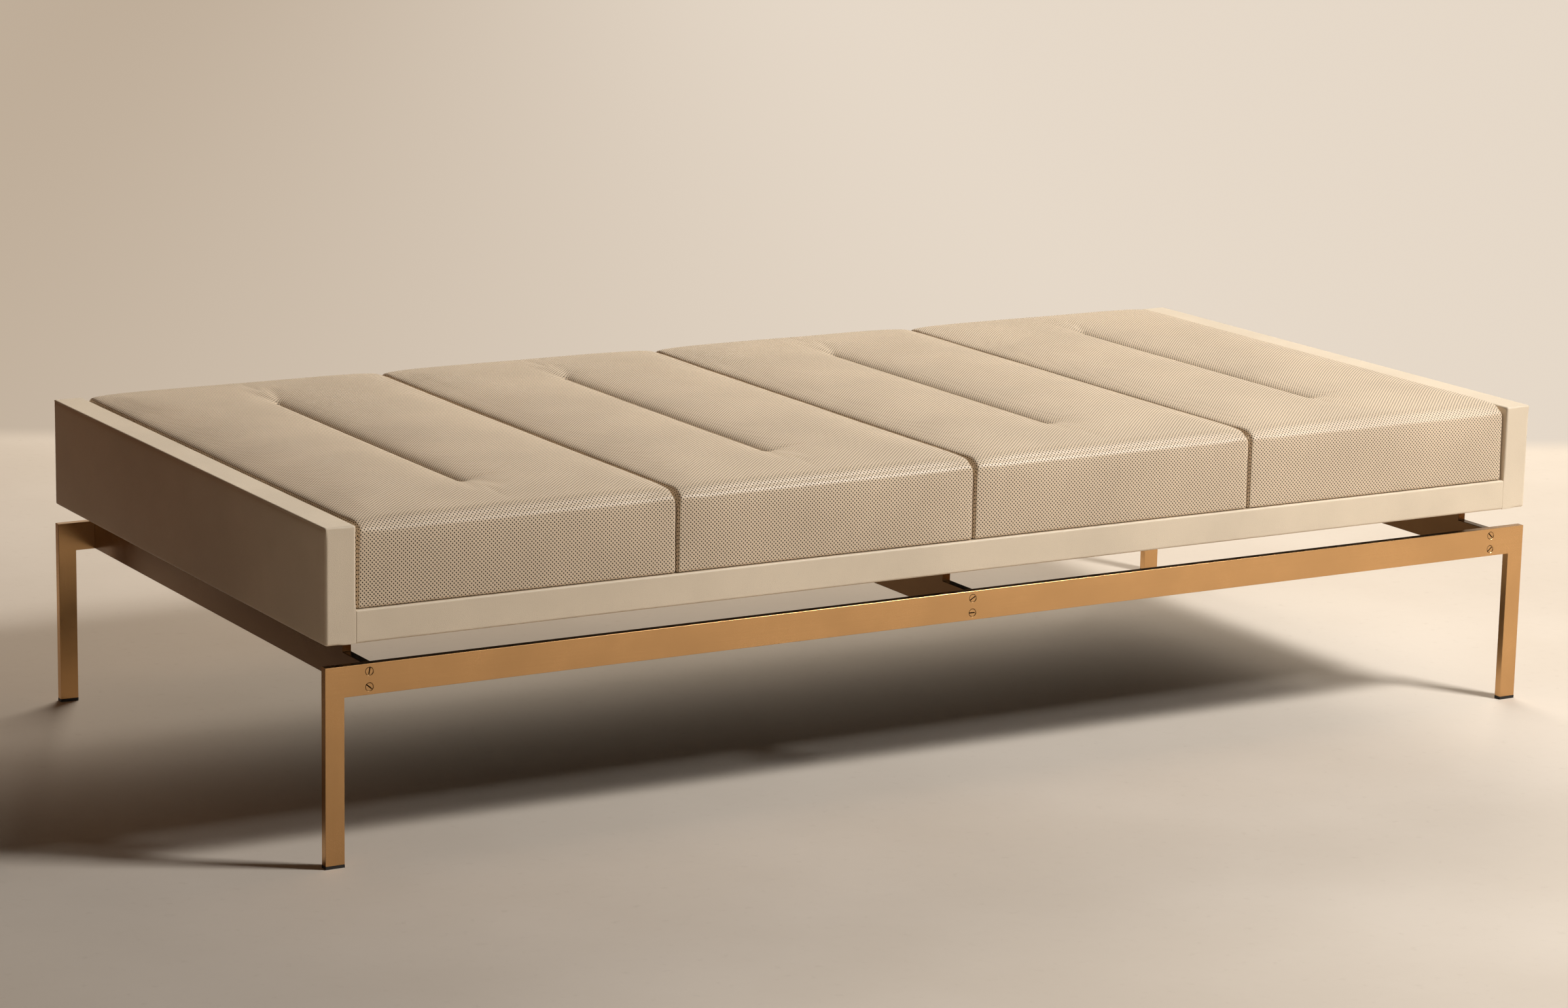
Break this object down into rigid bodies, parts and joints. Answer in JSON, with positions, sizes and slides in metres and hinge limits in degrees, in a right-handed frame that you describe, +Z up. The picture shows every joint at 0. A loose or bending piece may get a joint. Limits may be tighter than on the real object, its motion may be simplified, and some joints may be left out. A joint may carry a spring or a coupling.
{
  "type": "chaise longue",
  "caption": "Low backless daybed: channelled perforated-leather cushions lift out of a leather tray with raised ends, carried by a bronze flat-bar frame on straight legs.",
  "frame": {"origin": "on the floor under the middle of the daybed", "axes": "+X along the length, to the right as seen from the front; the front faces -Y; +Z up"},
  "size_m": [1.9, 0.915, 0.4481],
  "materials": {
    "bronze_metal": "satin",
    "bronze_screws": "satin",
    "black_glide": "matte",
    "steel_fixings": "satin",
    "plywood": "matte",
    "beech": "matte",
    "smooth_leather": "satin",
    "perforated_leather": "satin",
    "foam": "matte",
    "webbing": "matte",
    "lining_cloth": "matte",
    "dust_cloth": "matte",
    "touch_fastener": "matte"
  },
  "bodies": {
    "base": {"front_side_frame": "bronze_metal", "front_frame_screws": "bronze_screws", "front_left_glide": "black_glide", "front_right_glide": "black_glide", "rear_side_frame": "bronze_metal", "rear_frame_screws": "bronze_screws", "rear_left_glide": "black_glide", "rear_right_glide": "black_glide", "left_cross_plate": "bronze_metal", "middle_cross_plate": "bronze_metal", "right_cross_plate": "bronze_metal", "left_end_cover": "smooth_leather", "left_end_core": "plywood", "left_joint_screws": "steel_fixings", "left_dowels": "beech", "right_end_cover": "smooth_leather", "right_end_core": "plywood", "right_joint_screws": "steel_fixings", "right_dowels": "beech", "base_cover": "smooth_leather", "base_lower_skin": "plywood", "base_upper_skin": "plywood", "base_ribs": "plywood", "tray_bolts": "steel_fixings", "tray_washers": "steel_fixings", "hook_strips": "touch_fastener", "dust_cloth": "dust_cloth"},
    "left_cushion": {"left_cushion_cover": "perforated_leather", "left_cushion_foam": "foam", "left_cushion_board": "plywood", "left_cushion_pull_strip": "webbing", "left_cushion_lining": "lining_cloth", "left_cushion_loop_strips": "touch_fastener"},
    "inner_left_cushion": {"inner_left_cushion_cover": "perforated_leather", "inner_left_cushion_foam": "foam", "inner_left_cushion_board": "plywood", "inner_left_cushion_pull_strip": "webbing", "inner_left_cushion_lining": "lining_cloth", "inner_left_cushion_loop_strips": "touch_fastener"},
    "inner_right_cushion": {"inner_right_cushion_cover": "perforated_leather", "inner_right_cushion_foam": "foam", "inner_right_cushion_board": "plywood", "inner_right_cushion_pull_strip": "webbing", "inner_right_cushion_lining": "lining_cloth", "inner_right_cushion_loop_strips": "touch_fastener"},
    "right_cushion": {"right_cushion_cover": "perforated_leather", "right_cushion_foam": "foam", "right_cushion_board": "plywood", "right_cushion_pull_strip": "webbing", "right_cushion_lining": "lining_cloth", "right_cushion_loop_strips": "touch_fastener"}
  },
  "joints": [
    {"name": "left_cushion_lift", "type": "slide", "parent": "base", "child": "left_cushion", "axis": [0, 0, 1], "range_m": [0, 0.15]},
    {"name": "inner_left_cushion_lift", "type": "slide", "parent": "base", "child": "inner_left_cushion", "axis": [0, 0, 1], "range_m": [0, 0.15]},
    {"name": "inner_right_cushion_lift", "type": "slide", "parent": "base", "child": "inner_right_cushion", "axis": [0, 0, 1], "range_m": [0, 0.15]},
    {"name": "right_cushion_lift", "type": "slide", "parent": "base", "child": "right_cushion", "axis": [0, 0, 1], "range_m": [0, 0.15]}
  ]
}
